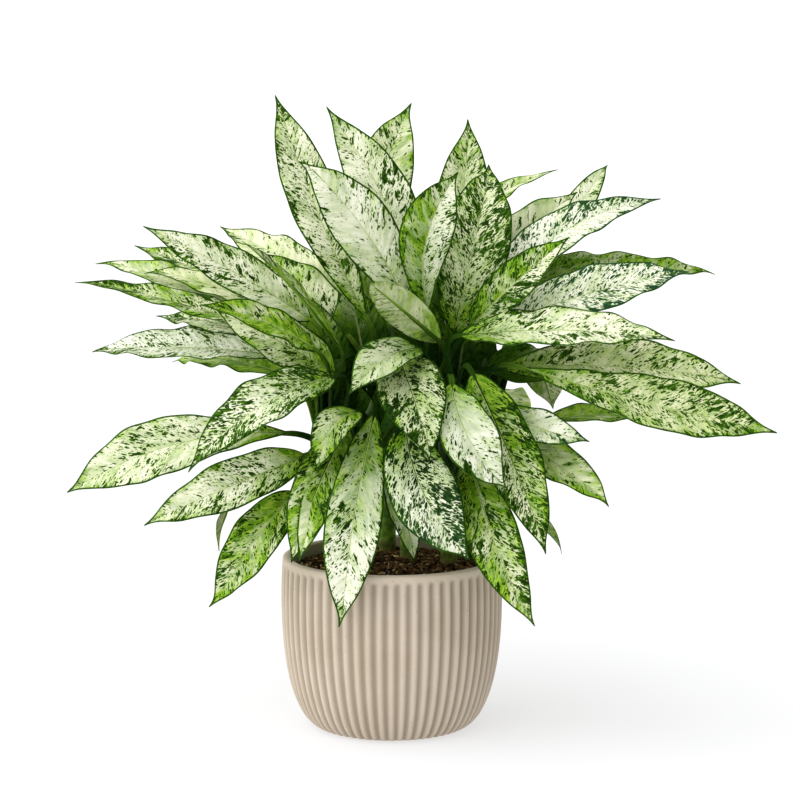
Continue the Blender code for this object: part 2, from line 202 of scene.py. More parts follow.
LEFT_LEAVES = (
    ("left", 305, (-72, 12, 367), (-221, -10, 453), 42, 10, (0, -0.8, 0.6)),
    ("rear", 305, (-43, 75, 378), (-165, 180, 438), 46, 8, (0, -0.6, 0.8)),
    ("left", 304, (-46, -8, 346), (-129, -60, 444), 38, 5, (0.8, 0, 0.57)),
    ("rear", 280, (-40, 52, 349), (-122, 110, 421), 46, 5, (0.3, -0.9, 0.4)),
    ("rear", 262, (-79, 62, 350), (-247, 170, 421), 46, 12, (0, -0.5, 0.85)),
    ("left", 262, (-84, 32, 348), (-273, 85, 416), 44, 12, (0, -0.5, 0.85)),
    ("left", 277, (-76, -14, 348), (-284, 10, 405), 36, 6, (0, -0.4, 0.9)),
    ("left", 261, (-66, -52, 348), (-160, -125, 396), 36, 8, (0, -0.7, 0.7)),
    ("left", 286, (-50, -14, 322), (-157, -45, 383), 50, 5, (0.1, -0.8, 0.6)),
    ("rear", 240, (-70, 45, 332), (-226, 150, 355), 44, 12, (0, -0.5, 0.85)),
    ("left", 243, (-88, 0, 335), (-274, 30, 338), 50, 7, (0, -0.45, 0.9), 0, 0.55),
    ("left", 228, (-95, 25, 316), (-211, 150, 313), 42, 10, (0, -0.5, 0.85)),
    ("left", 240, (-49, -62, 326), (-175, -125, 253), 50, 22, (-0.3, -0.8, 0.6)),
    ("front_left", 225, (-88, -30, 271), (-285, -60, 222), 54, 17, (0, -0.9, 0.5), 12, 0.6),
    ("front_left", 215, (-75, -60, 256), (-214, -110, 204), 45, 8, (0, -0.9, 0.5), -2),
    ("left", 200, (-82, 10, 245), (-164, 90, 140), 30, 22, (-0.75, 0.1, 0.65)),
    ("front_left", 195, (-85, -50, 222), (-156, -90, 125), 44, 12, (-0.3, -1, 0.3)),
)
BACK_LEAVES = (
    ("rear", 290, (-30, 95, 345), (-85, 245, 330), 50, 22, (0, 0.3, 1)),
    ("rear", 270, (30, 100, 335), (75, 250, 285), 52, 22, (0, 0.3, 1)),
)
# Leaves that only the looks have, with three more of them below
INNER_LEAVES = (
    ("left", 215, (-44, 24, 330), (-70, 10, 276), 40, 8, (-0.6, -0.6, 0.4)),
    ("front_right", 230, (20, 10, 300), (5, -40, 225), 44, 8, (-0.3, -0.9, 0.3)),
    ("rear", 255, (-20, 52, 300), (-40, 70, 400), 52, 6, (0, -1, 0.2)),
    ("rear", 245, (28, 55, 290), (25, 75, 395), 52, 6, (0, -1, 0.2)),
    ("centre", 240, (58, 50, 290), (70, 60, 380), 50, 6, (0, -1, 0.2)),
    ("left", 235, (-50, 40, 285), (-74, 60, 385), 48, 6, (0, -1, 0.2)),
    ("right", 225, (78, 50, 280), (92, 60, 345), 38, 6, (0, -1, 0.2)),
    ("centre", 205, (8, 40, 240), (10, 55, 330), 56, 6, (0, -1, 0.2)),
    ("front_right", 205, (50, 20, 235), (55, 30, 320), 50, 6, (0, -1, 0.2)),
    ("left", 200, (-30, 30, 230), (-40, 45, 315), 48, 6, (0, -1, 0.2)),
    ("right", 200, (76, 12, 225), (80, 20, 300), 40, 6, (0, -1, 0.2)),
)
REAR_LEAVES = (
    ("rear", 315, (-10, 110, 375), (-30, 235, 450), 46, 15, (0, 0.3, 1)),
    ("rear", 308, (40, 105, 380), (95, 225, 440), 44, 14, (0.1, 0.3, 1)),
    ("rear", 296, (-50, 95, 350), (-105, 225, 395), 44, 14, (-0.1, 0.3, 1)),
    ("rear", 285, (0, 112, 340), (15, 246, 352), 48, 18, (0, 0.4, 1)),
    ("centre", 260, (60, 95, 330), (150, 215, 345), 46, 14, (0.2, 0.3, 1)),
    ("left", 250, (-60, 80, 320), (-130, 200, 330), 44, 14, (-0.2, 0.3, 1)),
    ("rear", 250, (20, 110, 300), (40, 240, 240), 46, 20, (0, 0.8, 0.6)),
    ("rear", 235, (-30, 100, 290), (-60, 225, 235), 44, 18, (0, 0.8, 0.6)),
    ("right", 225, (85, 80, 290), (130, 190, 235), 44, 16, (0.2, 0.8, 0.6)),
    ("rear", 335, (-2, 100, 395), (5, 190, 480), 44, 10, (0, 0.6, 0.8)),
    ("rear", 215, (-5, 120, 245), (-10, 215, 165), 42, 18, (0, 1, 0.4)),
    ("centre", 220, (60, 105, 250), (95, 180, 170), 40, 16, (0.2, 1, 0.4)),
    ("rear", 320, (-22, 95, 365), (-38, 125, 468), 50, 6, (0, -1, 0.2)),
    ("centre", 320, (46, 82, 360), (50, 112, 452), 46, 6, (0, -1, 0.2)),
)
# Each table's group, and the number of its first leaf
LEAVES = (
    ("top", 1, TOP_LEAVES),
    ("right", 1, RIGHT_LEAVES),
    ("front", 1, FRONT_LEAVES),
    ("left", 1, LEFT_LEAVES),
    ("back", 1, BACK_LEAVES),
)
EXTRA_LEAVES = (
    ("left", 18, [("left", 270, (-75, 25, 360), (-226, 50, 411), 36, 8, (0, -0.5, 0.85))]),
    ("front", 11, [("front_left", 220, (-45, -72, 262), (-80, -108, 171), 28, 8, (-0.2, -1, 0.3))]),
    ("right", 13, [("right", 240, (85, 0, 325), (155, 32, 318), 40, 8, (0, -0.8, 0.6))]),
    ("inner", 1, INNER_LEAVES),
    ("rear", 1, REAR_LEAVES),
)

# Stalks and outlines of the leaves, as in the CAD part
STALK_RADIUS = 3 * MM
NECK_RADIUS = 1.9 * MM
GAP = 0.3 * MM
STALK_PULL = 0.38
STALK_SPREAD = 0.3
ROUNDNESS = 0.95
TIP_DRAW = 0.25
TIP_POWER = 8

# Blade details that only the looks have
UV_UNIT = 100 * MM
BLADE_ROWS = 60
HALF_COLUMNS = 9
COLUMN_CROWDING = 1.25
BLADE_START = 0.012
BLADE_END = 0.997
SKIN = 0.22 * MM
MARGIN = 0.25 * MM
FOLD_ROUND = 0.45
GROOVE_DEPTH = 0.6 * MM
GROOVE_WIDTH = 1.1 * MM
GROOVE_FADE = 0.7
WAVE_LENGTHS = (46 * MM, 29 * MM)
WAVE_HEIGHTS = (1.6 * MM, 0.65 * MM)
WAVE_STRENGTHS = (0.7, 1.3)
WAVE_POWER = 2.2
WAVY_WIDTH = 44
WAVY_SPAN = 12 * MM
OUTLINE_WOBBLE = 0.03
OUTLINE_WAVES = 45
BASE_FILL = 0.8
BASE_REACH = 0.4
TIP_BEND = 0.84
TIP_NECK = 0.96
TIP_SLIM = 0.45
TIP_ASIDE = 3.5 * MM
TIP_DROP = 6 * MM

# Stalk details, and the rib that runs on from the stalk under the blade
STALK_ROWS = 16
STALK_SIDES = 12
CHANNEL = 0.5
WING = 1.45
SHEATH_WIDEN = 0.7
SHEATH_SHARE = 0.55
SHEATH_DROP = 9 * MM
SHEATH_START = 0.6
ROOT_RADIUS = 2.2 * NECK_RADIUS
RIB_ROWS = 20
RIB_REACH = 0.93
RIB_SINK = 0.6
RIB_TIP = 0.22 * MM

# Leaf colouring, in millimetres: the side veins' slope, the way along one for each step across the
# blade, and their spacing; for flecks and specks the spacing, how many, and length over width
VEIN_SLOPE = 0.95
VEIN_LENGTH = 1.38
VEIN_PITCH = 8.5
FLECKS = (3.2, 0.49, 1.5)
SPECKS = (1.75, 0.34, 1.4)
SPOT_RADIUS = 0.49

# The heart of the plant, where painted shade makes the leaves greener and darker, and how far that reaches
HEART = (0.015, -0.02, 0.27)
HEART_IN = 0.07
HEART_OUT = 0.165

# How a leaf is coloured: greenness (lime), amount of flecks, whiteness, darkness (partly the leaf's own
# deep green, partly painted shade towards its base; below 0 it takes back the painted shade of the heart),
# how far its left half (negative) or right half (positive) is greener than the other (side; partly own
# colour, partly painted shade on the half turned from the light), and blueness of the flecks (a painted
# bluish sheen)
Look = namedtuple("Look", "lime flecks white dark side blue", defaults=(0.5, 0.4, 0.0, 0.0, 0.0))
TOP_LOOKS = (
    (0.12, 0.85, 0.5, -0.05),
    (0.1, 0.55, 0.7),
    (0.08, 0.65, 0.6, -0.1),
    (0.3, 0.55),
    (0.28, 0.8, 0.7, 0.28, -0.35),
    (0.35, 0.8, 0.4, 0.15),
    (0.3, 1.1, 0.4, 0.12),
    (0.35, 0.5),
    (0.15, 0.3, 0.4, 0.45),
    (0.05, 0.5, 0.6),
    (0.2, 0.4, 0.3, -0.5),
)
RIGHT_LOOKS = (
    (0.08, 0.82, 0.9, 0, 0, 0.8),
    (0.3, 1.0, 0.4, 0.2, -0.4),
    (0.7, 0.7, 0.4, 0.45),
    (0.1, 0.95, 0.8, 0, 0, 1.0),
    (0.12, 0.85, 0.5),
    (0.25, 0.8, 0.2, 0.15),
    (0.28, 0.9, 0.1, 0.28),
    (0.6, 0.6, 0.4, 0.5),
    (0.85, 0.4, 0.4, -0.5),
    (0.1, 0.65, 0.8, 0, 0, 0.6),
    (0.4, 0.6, 0.4, -0.5),
    (0.9, 0.6, 0.4, 0.8),
    (0.8, 0.6, 0.4, 0.65),
)
FRONT_LOOKS = (
    (0.12, 0.7, 0.8, -0.15),
    (0.7, 0.9),
    (0.3, 0.75, 0.4, -0.2),
    (0.08, 0.8, 0.5, 0.12),
    (0.05, 1.05, 0.5, -0.25),
    (0.1, 0.6, 0.9, -0.2),
    (0.3, 1.05, 0.4, -0.1, -0.2),
    (-0.2, 1.05, 0.9, -0.6, 0, 0.6),
    (0.5, 0.95, 0.4, 0.08),
    (-0.3, 0.3, 0.8, -1.2),
    (0.5, 0.4),
)
LEFT_LOOKS = (
    (0.1, 0.72, 0.6, -0.1),
    (0.1, 0.45, 0.3),
    (0.85, 0.8, 0.4, -0.4),
    (0.35, 0.75),
    (0.35, 0.9, 0.4, 0.2),
    (0.25, 0.55),
    (0.5, 1.0),
    (0.85, 0.75, 0.4, -0.3),
    (0.3, 0.8, 0.4, -0.45),
    (0.1, 1.0, 0.5, -0.3),
    (0.05, 0.85, 1.0, -0.15),
    (0.8, 0.5, 0.4, -0.8),
    (0.15, 1.1, 0.6),
    (0.2, 0.65, 0.5),
    (0.2, 0.8, 0.5, -0.25),
    (0.7, 0.6, 0.4, 0.75),
    (0.6, 0.85, 0.4, -0.15),
)
# Leaves in the heart: green and dark, the darkness partly painted shade
INNER_LOOK = (0.85, 0.7, 0.4, 0.9)
LAST_REAR_LOOKS = (
    (0.5, 0.6, 0.4, 0.3),
    (0.5, 0.6, 0.4, 0.4),
)
LOOKS = (
    ("top", 1, TOP_LOOKS),
    ("right", 1, RIGHT_LOOKS),
    ("front", 1, FRONT_LOOKS),
    ("left", 1, LEFT_LOOKS),
    ("inner", 1, [INNER_LOOK] * len(INNER_LEAVES)),
    ("rear", 13, LAST_REAR_LOOKS),
)
# The range of looks of all other leaves
ANY_LIME = (0.12, 0.4)
ANY_FLECKS = (0.4, 0.7)
ANY_WHITE = (0.2, 0.7)


def named(tables):
    """The rows of these tables, each with the name of its leaf."""
    for group, first, rows in tables:
        for number, row in enumerate(rows, first):
            yield f"{group}_leaf_{number:02d}", row


SET_LOOKS = {name: Look(*row) for name, row in named(LOOKS)}


def linear(red, green, blue):
    """A colour given as it looks on screen, 0 to 255, in linear light."""
    shares = [value / 255 for value in (red, green, blue)]
    return (*[s / 12.92 if s <= 0.04045 else ((s + 0.055) / 1.055) ** 2.4 for s in shares], 1)


class Graph:
    """A material and short calls that add nodes to it. A colour in a call is as it looks on screen."""

    def __init__(self, name):
        self.material = bpy.data.materials.new(name)
        self.material.use_nodes = True
        self.nodes = self.material.node_tree.nodes
        self.links = self.material.node_tree.links
        self.shader = self.nodes["Principled BSDF"]

    def put(self, socket, value):
        """Link a socket to another, or give it a number or a colour of its own."""
        if isinstance(value, bpy.types.NodeSocket):
            self.links.new(value, socket)
        else:
            socket.default_value = linear(*value) if isinstance(value, tuple) else value

    def node(self, kind, inputs, output=0, **settings):
        """Add a node with its settings, feed its inputs by name or number, and give one of its outputs."""
        made = self.nodes.new("ShaderNode" + kind)
        for name, value in settings.items():
            setattr(made, name, value)
        for key, value in inputs.items():
            self.put(made.inputs[key], value)
        return made.outputs[output]

    def math(self, operation, *values, clamp=False):
        return self.node("Math", dict(enumerate(values)), operation=operation, use_clamp=clamp)

    def add(self, *values):
        return reduce(lambda total, value: self.math("ADD", total, value), values)

    def sub(self, first, second):
        return self.math("SUBTRACT", first, second)

    def mul(self, *values):
        return reduce(lambda total, value: self.math("MULTIPLY", total, value), values)

    def swing(self, value, size):
        """A value that lies about 0.5, made to swing about 0."""
        return self.mul(self.sub(value, 0.5), size)

    def vector(self, *values):
        return self.node("CombineXYZ", dict(enumerate(values)))

    def split(self, vector):
        return self.node("SeparateXYZ", {0: vector}).node.outputs

    def length(self, vector):
        return self.node("VectorMath", {0: vector}, "Value", operation="LENGTH")

    def place(self):
        """The point on the object, in metres."""
        return self.node("TexCoord", {}, "Object")

    def stored(self, name, output="Fac"):
        """What the mesh stores at its points under a name: a number, or a vector."""
        return self.node("Attribute", {}, output, attribute_name=name)

    def noise(self, vector, scale=1.0, detail=2.0, roughness=0.5, warp=0.0):
        inputs = {"Vector": vector, "Scale": scale, "Detail": detail, "Roughness": roughness}
        return self.node("TexNoise", inputs | {"Distortion": warp}, "Fac")

    def cells(self, x, y):
        """Distance to the middle of the nearest cell, and a random number for each cell."""
        inputs = {"Vector": self.vector(x, y), "Scale": 1.0}
        distance = self.node("TexVoronoi", inputs, "Distance", voronoi_dimensions="2D")
        return distance, self.split(distance.node.outputs["Color"])[0]

    def step(self, value, low, high, to_low=0.0, to_high=1.0):
        """A soft step from low to high."""
        inputs = dict(enumerate((value, low, high, to_low, to_high)))
        return self.node("MapRange", inputs, interpolation_type="SMOOTHSTEP")

    def mix(self, share, first, second):
        """The first colour, with that share of the second in it."""
        return self.node("Mix", {"Factor": share, 6: first, 7: second}, 2, data_type="RGBA")

    def bump(self, height, strength, distance):
        normal = self.node("Bump", {"Height": height, "Strength": strength, "Distance": distance})
        self.links.new(normal, self.shader.inputs["Normal"])

    def finish(self, colour, roughness, specular):
        self.put(self.shader.inputs["Base Color"], colour)
        self.put(self.shader.inputs["Roughness"], roughness)
        self.shader.inputs["Specular IOR Level"].default_value = specular
        return self.material


class LeafGraph(Graph):
    """The leaf material's graph, with coordinates on the blade in millimetres.

    `across` and `along` lie flat on the blade and `out` is the distance from its midrib. `vein` goes
    from side vein to side vein and `run` along one, and both waver. `reach` is 0 at the midrib and 1
    at the margin, and `share` is 0 at the base of the blade and 1 at its tip.
    """

    def __init__(self, name):
        super().__init__(name)
        across, along, _ = self.split(self.node("UVMap", {}, uv_map="leaf"))
        self.across = self.mul(across, UV_UNIT / MM)
        self.along = self.mul(along, UV_UNIT / MM)
        self.hand = self.math("SIGN", self.across)
        self.out = self.math("ABSOLUTE", self.across)
        self.reach = self.stored("reach")
        self.share = self.stored("share")
        self.lime, self.dark, self.flecks = self.split(self.stored("tint", "Vector"))
        seed, self.side, self.white = self.split(self.stored("traits", "Vector"))
        # Each half of each leaf has noise of its own, and the veins waver by a few millimetres
        self.own = self.add(self.mul(seed, 431.0), self.mul(self.hand, 57.0))
        self.raw_vein = self.sub(self.along, self.mul(self.out, VEIN_SLOPE))
        self.bend = self.noise(self.vector(self.raw_vein, self.out, self.own), 0.07)
        self.vein = self.add(self.raw_vein, self.swing(self.bend, 9.0))
        sway = self.noise(self.vector(self.raw_vein, self.out, self.add(self.own, 83.0)), 0.09)
        self.run = self.add(self.mul(self.out, VEIN_LENGTH), self.swing(sway, 14.0))
        # Strength of the painted shade in the heart of the plant
        self.inner = self.heart()

    def heart(self):
        """How deep in the heart of the plant a point lies, from 0 to 1: the strength of the painted shade
        there.
        """
        aside = [self.sub(place, middle) for place, middle in zip(self.split(self.place()), HEART)]
        return self.step(self.length(self.vector(*aside)), HEART_OUT, HEART_IN)

    def veined(self, per_vein, per_run, shift, detail, roughness=0.5, warp=0.0):
        """Noise that follows the side veins, with so many waves to a millimetre each way."""
        own = self.add(self.own, shift)
        spot = self.vector(self.mul(self.vein, per_vein), self.mul(self.run, per_run), own)
        return self.noise(spot, 1.0, detail, roughness, warp)

    def straight(self, per_along, per_across, detail, roughness=0.5):
        """Noise that follows the length of the leaf, in the same way."""
        spot = self.vector(self.mul(self.along, per_along), self.mul(self.across, per_across), self.own)
        return self.noise(spot, 1.0, detail, roughness)


def leaf_spots(g):
    """The green patches, the patches and flecks together, and the soft halo round both.

    All are thicker towards the margin and the tip. Flecks are long spots along the veins in two
    sizes, each in a cell of its own.
    """
    crowd = g.straight(0.03, 0.045, 1.0)
    edge = g.math("POWER", g.reach, 4.0)
    end = g.math("POWER", g.share, 8.0)
    rough = g.sub(g.veined(0.5, 0.4, 0.0, 1.5, warp=0.6), 0.5)
    thick = g.add(g.swing(crowd, 0.38), g.swing(g.flecks, 0.16))
    level = g.add(
        g.veined(0.16, 0.11, 0.0, 3.0, warp=0.5),
        g.mul(rough, 0.22), g.mul(edge, 0.08), g.mul(end, 0.10), thick,
    )
    patch = g.step(level, 0.672, 0.680)
    marks, halo = patch, g.step(level, 0.60, 0.675)
    crowding = g.add(
        g.swing(g.flecks, 0.9), g.swing(crowd, 1.3), g.mul(edge, 0.20), g.mul(end, 0.22)
    )
    for pitch, amount, stretch in (FLECKS, SPECKS):
        shift = g.add(g.own, pitch * 31.0)
        x = g.add(g.mul(g.vein, 1 / pitch), shift)
        y = g.add(g.mul(g.run, 1 / (pitch * stretch)), shift)
        distance, chance = g.cells(x, y)
        size = g.math("ADD", chance, g.add(crowding, amount - 1), clamp=True)
        radius = g.mul(size, SPOT_RADIUS)
        depth = g.sub(g.mul(radius, g.add(1.0, rough)), distance)
        marks = g.math("MAXIMUM", marks, g.step(depth, 0.0, 0.05))
        glow = g.mul(g.step(depth, -0.16, 0.0), g.step(radius, 0.0, 0.1))
        halo = g.math("MAXIMUM", halo, glow)
    return patch, marks, halo


def leaf_rim(g):
    """How far in from the margin a point lies."""
    left = g.math("DIVIDE", g.sub(1.0, g.reach), g.math("MAXIMUM", g.reach, 0.05))
    return g.mul(g.out, left)


def leaf_margin(g, rim):
    """The thin green line round the blade, which wavers."""
    waver = g.noise(g.vector(g.mul(g.along, 0.16), g.hand, g.own))
    return g.step(g.sub(rim, g.mul(waver, 1.5)), 0.95, 0.45)


def leaf_field(g, rim, halo):
    """White to cream, with a soft lime haze that is greener near the base (partly the leaf's own green,
    partly painted shade) and, as painted shade, greener inside; painted shade also darkens it towards the
    base and inside.
    """
    haze = g.veined(0.055, 0.04, 5.0, 3.0, warp=0.6)
    mottle = g.veined(0.17, 0.11, 61.0, 3.0, 0.6, 0.5)
    lime = g.math("ADD", g.lime, g.mul(g.side, g.hand), clamp=True)
    soft = g.mul(g.sub(haze, 0.48), g.add(lime, 0.45), 2.8)
    # Greener towards the blade's base: partly the leaf's own colour, partly painted shade
    base_green_and_shade = g.step(g.share, 0.4, 0.0, 0.0, 0.5)
    rim_green = g.mul(g.step(rim, 9.0, 0.0), g.step(haze, 0.4, 0.6))
    rim_green = g.mul(rim_green, g.add(g.mul(lime, 0.5), 0.3))
    outer_green = g.add(lime, soft, base_green_and_shade, rim_green)
    # Painted shade: greener in the heart
    green = g.math("ADD", outer_green, g.mul(g.inner, 0.45), clamp=True)
    cream = g.mix(g.white, (222, 225, 182), (239, 240, 226))
    vivid = g.mix(g.step(mottle, 0.36, 0.64), (94, 140, 22), (160, 191, 70))
    colour = g.mix(green, cream, vivid)
    colour = g.mix(g.mul(halo, 0.36), colour, (126, 162, 34))
    # Painted shade: darker towards the blade's base by the leaf's darkness, and darker in the heart
    shade = g.mul(g.dark, g.step(g.share, 0.85, 0.35, 0.4, 1.0))
    shade = g.math("MULTIPLY", g.add(shade, g.mul(g.inner, 0.55)), 0.9, clamp=True)
    return g.mix(shade, colour, (44, 78, 6))


def leaf_ink(g):
    """The dark green of the flecks, bluer on some leaves as a painted bluish sheen, and darkest in the
    heart as painted shade.
    """
    deep = g.veined(0.4, 0.15, 40.0, 2.0)
    colour = g.mix(g.step(deep, 0.40, 0.70), (28, 56, 3), (74, 116, 16))
    # Painted bluish sheen on some leaves
    colour = g.mix(g.mul(g.stored("blue"), 0.6), colour, (42, 84, 62))
    # Painted shade: darkest in the heart
    return g.mix(g.mul(g.inner, 0.7), colour, (14, 32, 1))


def leaf_veins(g, colour):
    """Faint side veins and a pale midrib drawn on a colour."""
    wave = g.math("PINGPONG", g.mul(g.raw_vein, 1 / VEIN_PITCH), 0.5)
    line = g.mul(g.step(wave, 0.09, 0.0), g.step(g.reach, 1.0, 0.5))
    colour = g.mix(g.mul(line, 0.10), colour, (120, 150, 80))
    rib = g.mul(g.step(g.out, 1.3, 0.3), g.step(g.share, 1.0, 0.3), 0.5)
    return g.mix(rib, colour, (196, 208, 150))


def leaf_bark(g):
    """The streaked and dotted green of the stalk and of the midrib's underside, darker by the leaf's
    darkness and, as painted shade, in the heart.
    """
    streaks = g.straight(0.03, 0.9, 3.0, 0.6)
    colour = g.mix(g.step(streaks, 0.35, 0.7), (84, 128, 22), (148, 178, 72))
    # Darker by the leaf's darkness, and in the heart as painted shade
    shade = g.math("ADD", g.mul(g.dark, 0.5), g.mul(g.inner, 1.15), clamp=True)
    colour = g.mix(shade, colour, (24, 52, 3))
    dots = g.straight(0.35, 0.7, 2.0)
    return g.mix(g.mul(g.step(dots, 0.66, 0.7), 0.6), colour, (52, 92, 30))


def leaf_material():
    """Cream and green leaf skin: flecks along the veins, a green margin and a pale midrib."""
    g = LeafGraph("dieffenbachia_leaf")
    patch, marks, halo = leaf_spots(g)
    rim = leaf_rim(g)
    field = leaf_field(g, rim, halo)
    ink = leaf_ink(g)
    top = g.mix(marks, g.mix(leaf_margin(g, rim), field, (48, 86, 10)), ink)
    top = leaf_veins(g, top)
    below = g.mix(0.12, g.mix(g.mul(marks, 0.7), field, ink), (176, 184, 140))
    under = g.stored("under")
    skin = g.mix(g.stored("stalk"), g.mix(under, top, below), leaf_bark(g))
    fine = g.noise(g.vector(g.along, g.across, g.own), 1.6, 3.0, 0.6)
    ridge = g.math("SINE", g.mul(g.add(g.raw_vein, g.mul(g.bend, 6.0)), 2 * math.pi / VEIN_PITCH))
    height = g.add(g.mul(ridge, g.step(g.reach, 1.0, 0.6), 0.36), g.mul(fine, 0.22), g.mul(patch, 0.1))
    g.bump(height, 0.6, 0.9 * MM)
    return g.finish(skin, g.add(0.40, g.mul(fine, 0.16), g.mul(under, 0.1)), 0.07)


def cane_material():
    """Green cane skin that turns tan towards the soil, with pale leaf scars, and painted shade that darkens
    it higher up.
    """
    g = Graph("dieffenbachia_cane")
    place = g.place()
    _, _, height = g.split(place)
    streak = g.noise(place, 160.0, 3.0, 0.6)
    green = g.mix(g.step(streak, 0.35, 0.65), (72, 112, 20), (124, 158, 48))
    tan = g.mix(g.step(streak, 0.35, 0.7), (92, 88, 40), (126, 126, 62))
    colour = g.mix(g.step(height, 0.146, 0.162), tan, green)
    colour = g.mix(g.mul(g.stored("scar"), 0.6), colour, (122, 122, 64))
    # Painted shade: darker higher up, under the leaves
    colour = g.mix(g.step(height, 0.17, 0.27, 0.0, 0.85), colour, (26, 54, 4))
    g.bump(g.noise(place, 420.0, 3.0, 0.6), 0.4, 0.5 * MM)
    return g.finish(colour, g.add(0.42, g.mul(streak, 0.2)), 0.4)


def soil_material(name, dark, light, scale, roughness=0.95):
    """Crumbly matter in two tones."""
    g = Graph(name)
    place = g.place()
    grain = g.noise(place, scale, 4.0, 0.65)
    tone = g.add(g.mul(grain, 0.7), g.mul(g.stored("tone"), 0.5))
    g.bump(g.noise(place, scale * 2.2, 4.0, 0.7), 0.8, 1.0 * MM)
    return g.finish(g.mix(g.step(tone, 0.3, 0.85), dark, light), roughness, 0.2)


def pot_material():
    """Matte beige stoneware with a fine grain, a faint cloudiness and painted shade in the grooves."""
    g = Graph("matte_beige_ceramic")
    place = g.place()
    cloud = g.noise(place, 14.0, 3.0, 0.55)
    grain = g.noise(place, 1400.0, 2.0, 0.6)
    speck = g.step(g.noise(place, 520.0, 1.0, 0.5), 0.70, 0.74)
    colour = g.mix(g.step(cloud, 0.3, 0.7), (192, 179, 161), (203, 191, 175))
    # Painted shade in the grooves between the ribs
    colour = g.mix(g.mul(g.stored("groove"), 0.5), colour, (96, 78, 60))
    colour = g.mix(g.mul(g.step(grain, 0.4, 0.75), 0.10), colour, (176, 156, 130))
    colour = g.mix(g.mul(speck, 0.35), colour, (150, 128, 102))
    g.bump(g.add(grain, g.mul(g.noise(place, 260.0, 2.0), 0.6)), 0.10, 0.4 * MM)
    return g.finish(colour, g.add(0.58, g.mul(cloud, 0.12)), 0.35)


def stage_material(name, colour, roughness, glow):
    """A matte surface that shines white as well."""
    g = Graph(name)
    g.shader.inputs["Emission Color"].default_value = linear(*WHITE)
    g.shader.inputs["Emission Strength"].default_value = glow
    return g.finish(colour, roughness, 0)


def make_piece(name, points, faces, surface, nodes=()):
    """A smooth mesh piece that rides on the part and stands for the CAD nodes given."""
    mesh = bpy.data.meshes.new(name)
    mesh.from_pydata(points, [], faces)
    mesh.update()
    mesh.shade_smooth()
    mesh.materials.append(surface)
    made = bpy.data.objects.new(name, mesh)
    scene.collection.objects.link(made)
    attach(made, "root")
    if nodes:
        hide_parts(*nodes)
    return made


def store(mesh, name, values, kind="FLOAT"):
    """Store a number, or a vector, at each point of a mesh, for its material to read."""
    made = mesh.attributes.new(name, kind, "POINT")
    made.data.foreach_set("vector" if kind == "FLOAT_VECTOR" else "value", values)


def polar(radius, angle):
    """A place on a level circle, as x and y."""
    return radius * math.cos(angle), radius * math.sin(angle)


def full_circle(count):
    """That many angles, evenly spread."""
    return [2 * math.pi * i / count for i in range(count)]


def ring_faces(rows, sides, first=0):
    """Quads of a tube of rings, each of that many points."""
    faces = []
    for row in range(rows - 1):
        for i in range(sides):
            j = (i + 1) % sides
            a = first + row * sides
            faces.append((a + i, a + j, a + sides + j, a + sides + i))
    return faces


def tube_faces(rows, sides, first=0):
    """Faces of a tube of rings that is closed by one face at each end."""
    last = first + (rows - 1) * sides
    ends = [tuple(reversed(range(first, first + sides))), tuple(range(last, last + sides))]
    return ring_faces(rows, sides, first) + ends


def turned_faces(rows, sides):
    """Faces of a body of rings between two middle points, the first of its points and the last."""
    faces = ring_faces(rows, sides, 1)
    last = 1 + rows * sides
    start = last - sides
    for i in range(sides):
        j = (i + 1) % sides
        faces.append((0, 1 + j, 1 + i))
        faces.append((last, start + i, start + j))
    return faces


def pot_radius(z):
    """Outer radius of the pot at height z: a round belly below, a slight draw-in above."""
    if z < BELLY_HEIGHT:
        drop = 1 - z / BELLY_HEIGHT
        rise = (1 - drop ** BELLY_POWER) ** (1 / BELLY_POWER)
        return FOOT_RADIUS + (BELLY_RADIUS - FOOT_RADIUS) * rise
    climb = (z - BELLY_HEIGHT) / (POT_HEIGHT - BELLY_HEIGHT)
    return BELLY_RADIUS - (BELLY_RADIUS - RIM_RADIUS) * climb ** 2


def pot_bore(z):
    """Inner radius of the pot at height z."""
    return pot_radius(z) - RIB_DEPTH - WALL


def rib_groove(angle, z):
    """How deep the groove between two ribs is at a place on the pot, from 0 to 1."""
    wave = (0.5 - 0.5 * math.cos(angle * RIB_COUNT)) ** GROOVE_POWER
    top = min(max((RIB_TOP - z) / RIB_END, 0), 1)
    foot = min(max(z / RIB_FOOT, 0), 1)
    return wave * math.sqrt(1 - (1 - top) ** 2) * (FOOT_GROOVE + (1 - FOOT_GROOVE) * foot)


def pot_profile():
    """Half the pot's outline, from the middle of its underside round the lip to the middle of the bowl.

    Each point is a radius, a height, and the share of the grooves' depth that shows there.
    """
    lip_start = POT_HEIGHT - LIP_ROUND
    climb = RIB_TOP - FOOT_ROUND
    heights = [FOOT_ROUND + climb * (i / POT_ROWS) ** ROW_CROWDING for i in range(POT_ROWS + 1)]
    heights += [lip_start - LIP_EASE, lip_start]
    profile = [(0, 0.0, 0), (FOOT_RADIUS * 0.6, 0.0, 0), (FOOT_RADIUS - FOOT_ROUND * 0.6, 0.0, 0.2)]
    profile += [(pot_radius(z), z, 1) for z in heights]
    outer = pot_radius(lip_start)
    inner = pot_bore(POT_HEIGHT)
    middle = (outer + inner) / 2
    half = (outer - inner) / 2
    for i in range(1, LIP_STEPS):
        turn = math.pi * i / LIP_STEPS
        rise = LIP_ROUND * math.sin(turn) ** LIP_POWER
        profile.append((middle + half * math.cos(turn), lip_start + rise, 0))
    for i in range(BOWL_ROWS + 1):
        z = lip_start - (lip_start - BOWL_CORNER) * i / BOWL_ROWS
        profile.append((pot_bore(z), z, 0))
    reach = pot_bore(FLOOR)
    return profile + [(reach * 0.97, FLOOR * 1.1, 0), (reach * 0.9, FLOOR, 0), (0, FLOOR, 0)]


